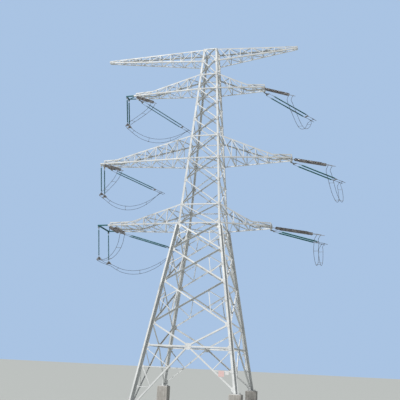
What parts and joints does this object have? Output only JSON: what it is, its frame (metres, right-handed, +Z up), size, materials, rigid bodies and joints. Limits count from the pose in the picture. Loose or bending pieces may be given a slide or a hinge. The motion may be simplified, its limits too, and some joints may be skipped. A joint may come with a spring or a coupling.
{
  "type": "double-circuit lattice power line angle tower",
  "caption": "Square lattice steel angle tower with stepped crossarms, strain strings towards one side, hanging jumper strings and concrete piers.",
  "frame": {"origin": "on the lowest ground, under the axis of the square body", "axes": "+Z up, +X along the crossarms towards the side that the line leaves to, +Y towards the rear, where the rod strings are"},
  "size_m": [24.2565, 12.6287, 35.04],
  "materials": {
    "galvanised_steel": "weathered galvanised",
    "concrete": "rough cast",
    "silicone_rubber": "matt",
    "porcelain": "glazed",
    "sign_paint": "satin",
    "aluminium_wire": "weathered"
  },
  "bodies": {
    "root": {"leg_front_left": "galvanised_steel", "pier_front_left": "concrete", "leg_bracing_front_left": "galvanised_steel", "leg_front_right": "galvanised_steel", "pier_front_right": "concrete", "leg_bracing_front_right": "galvanised_steel", "leg_rear_right": "galvanised_steel", "pier_rear_right": "concrete", "leg_bracing_rear_right": "galvanised_steel", "leg_rear_left": "galvanised_steel", "pier_rear_left": "concrete", "leg_bracing_rear_left": "galvanised_steel", "body_face_front": "galvanised_steel", "cage_face_front": "galvanised_steel", "body_face_right": "galvanised_steel", "cage_face_right": "galvanised_steel", "body_face_rear": "galvanised_steel", "cage_face_rear": "galvanised_steel", "body_face_left": "galvanised_steel", "cage_face_left": "galvanised_steel", "crossarm_left_upper": "galvanised_steel", "crossarm_left_middle": "galvanised_steel", "crossarm_left_lower": "galvanised_steel", "crossarm_right_upper": "galvanised_steel", "crossarm_right_middle": "galvanised_steel", "crossarm_right_lower": "galvanised_steel", "crossarm_left_top": "galvanised_steel", "crossarm_right_top": "galvanised_steel", "rod_strings_left_upper": "silicone_rubber", "disc_strings_left_upper": "porcelain", "hanging_strings_left_upper": "silicone_rubber", "rod_strings_left_middle": "silicone_rubber", "disc_strings_left_middle": "porcelain", "hanging_strings_left_middle": "silicone_rubber", "rod_strings_left_lower": "silicone_rubber", "disc_strings_left_lower": "porcelain", "hanging_strings_left_lower": "silicone_rubber", "rod_strings_right_upper": "silicone_rubber", "disc_strings_right_upper": "porcelain", "rod_strings_right_middle": "silicone_rubber", "disc_strings_right_middle": "porcelain", "rod_strings_right_lower": "silicone_rubber", "disc_strings_right_lower": "porcelain", "plan_bracing_base": "galvanised_steel", "plan_bracing_waist": "galvanised_steel", "plan_bracing_middle": "galvanised_steel", "plan_bracing_upper": "galvanised_steel", "sign_plates": "sign_paint", "jumper_left_lower_inner": "aluminium_wire", "jumper_left_lower_outer": "aluminium_wire", "jumper_left_middle_inner": "aluminium_wire", "jumper_left_middle_outer": "aluminium_wire", "jumper_left_upper_inner": "aluminium_wire", "jumper_left_upper_outer": "aluminium_wire", "jumper_right_lower_inner": "aluminium_wire", "jumper_right_lower_outer": "aluminium_wire", "jumper_right_middle_inner": "aluminium_wire", "jumper_right_middle_outer": "aluminium_wire", "jumper_right_upper_inner": "aluminium_wire", "jumper_right_upper_outer": "aluminium_wire"}
  },
  "joints": []
}
